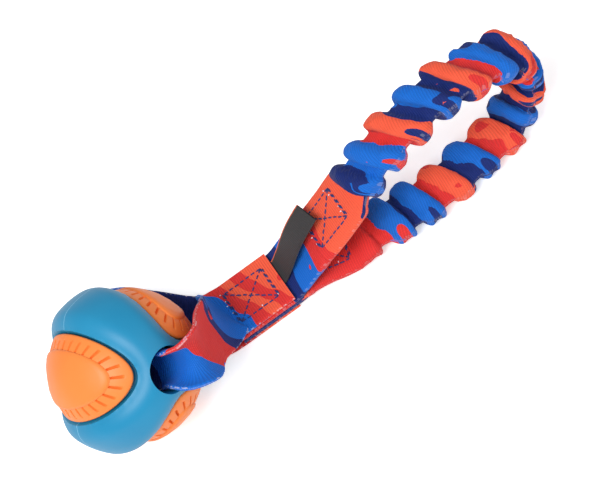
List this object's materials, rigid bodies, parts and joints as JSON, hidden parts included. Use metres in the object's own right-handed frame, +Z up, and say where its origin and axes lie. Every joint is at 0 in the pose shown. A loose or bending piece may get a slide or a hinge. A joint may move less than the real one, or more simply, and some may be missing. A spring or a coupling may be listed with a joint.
{
  "type": "tug toy",
  "caption": "Rubber ball with oval pads on a camouflage webbing strap, sewn to a stretchy gathered webbing handle loop.",
  "frame": {"origin": "middle of the toy's box on the floor it lies on", "axes": "+X from the ball towards the grip end of the handle, +Z up from the floor"},
  "size_m": [0.2298, 0.076, 0.0646],
  "materials": {
    "blue_rubber": "matt",
    "orange_rubber": "matt",
    "camo_webbing": "matt",
    "cream_elastic": "matt",
    "navy_thread": "matt",
    "black_ribbon": "matt"
  },
  "bodies": {
    "patch": {"upper_tail": "camo_webbing", "lower_tail": "camo_webbing", "patch_box_stitch": "navy_thread"},
    "ball_loop": {"ball_strap": "camo_webbing"},
    "ball": {"ball_shell": "blue_rubber", "pad_front": "orange_rubber", "pad_lower": "orange_rubber", "pad_upper": "orange_rubber"},
    "handle": {"upper_sleeve": "camo_webbing", "lower_sleeve": "camo_webbing", "upper_elastic": "cream_elastic", "lower_elastic": "cream_elastic", "upper_box_stitch": "navy_thread", "lower_box_stitch": "navy_thread"},
    "grip": {"grip_sleeve": "camo_webbing", "grip_elastic": "cream_elastic"},
    "label": {"label": "black_ribbon"}
  },
  "joints": [
    {"name": "ball_fold", "type": "hinge", "parent": "patch", "child": "ball_loop", "pos_m": [-0.03811, 0.00221, 0.00465], "axis": [0, 1, 0], "range_deg": [-40, 35], "deforming": ["ball_strap"]},
    {"name": "ball_turn", "type": "hinge", "parent": "ball_loop", "child": "ball", "pos_m": [-0.08216, -0.00389, 0.03179], "axis": [0.5003, -0.6839, 0.5311], "range_deg": [-45, 45]},
    {"name": "handle_fold", "type": "hinge", "parent": "patch", "child": "handle", "pos_m": [-0.01361, 0.00221, 0.00465], "axis": [0, -1, 0], "range_deg": [-20, 50], "deforming": ["upper_tail", "lower_tail"]},
    {"name": "bungee_stretch", "type": "slide", "parent": "handle", "child": "grip", "axis": [1, 0, 0], "range_m": [0, 0.08], "stiffness_N_per_m": 400, "deforming": ["upper_sleeve", "lower_sleeve", "upper_elastic", "lower_elastic"]},
    {"name": "label_lift", "type": "hinge", "parent": "handle", "child": "label", "pos_m": [-0.01281, 0.00421, 0.0081], "axis": [0, -1, 0], "range_deg": [0, 80]}
  ]
}
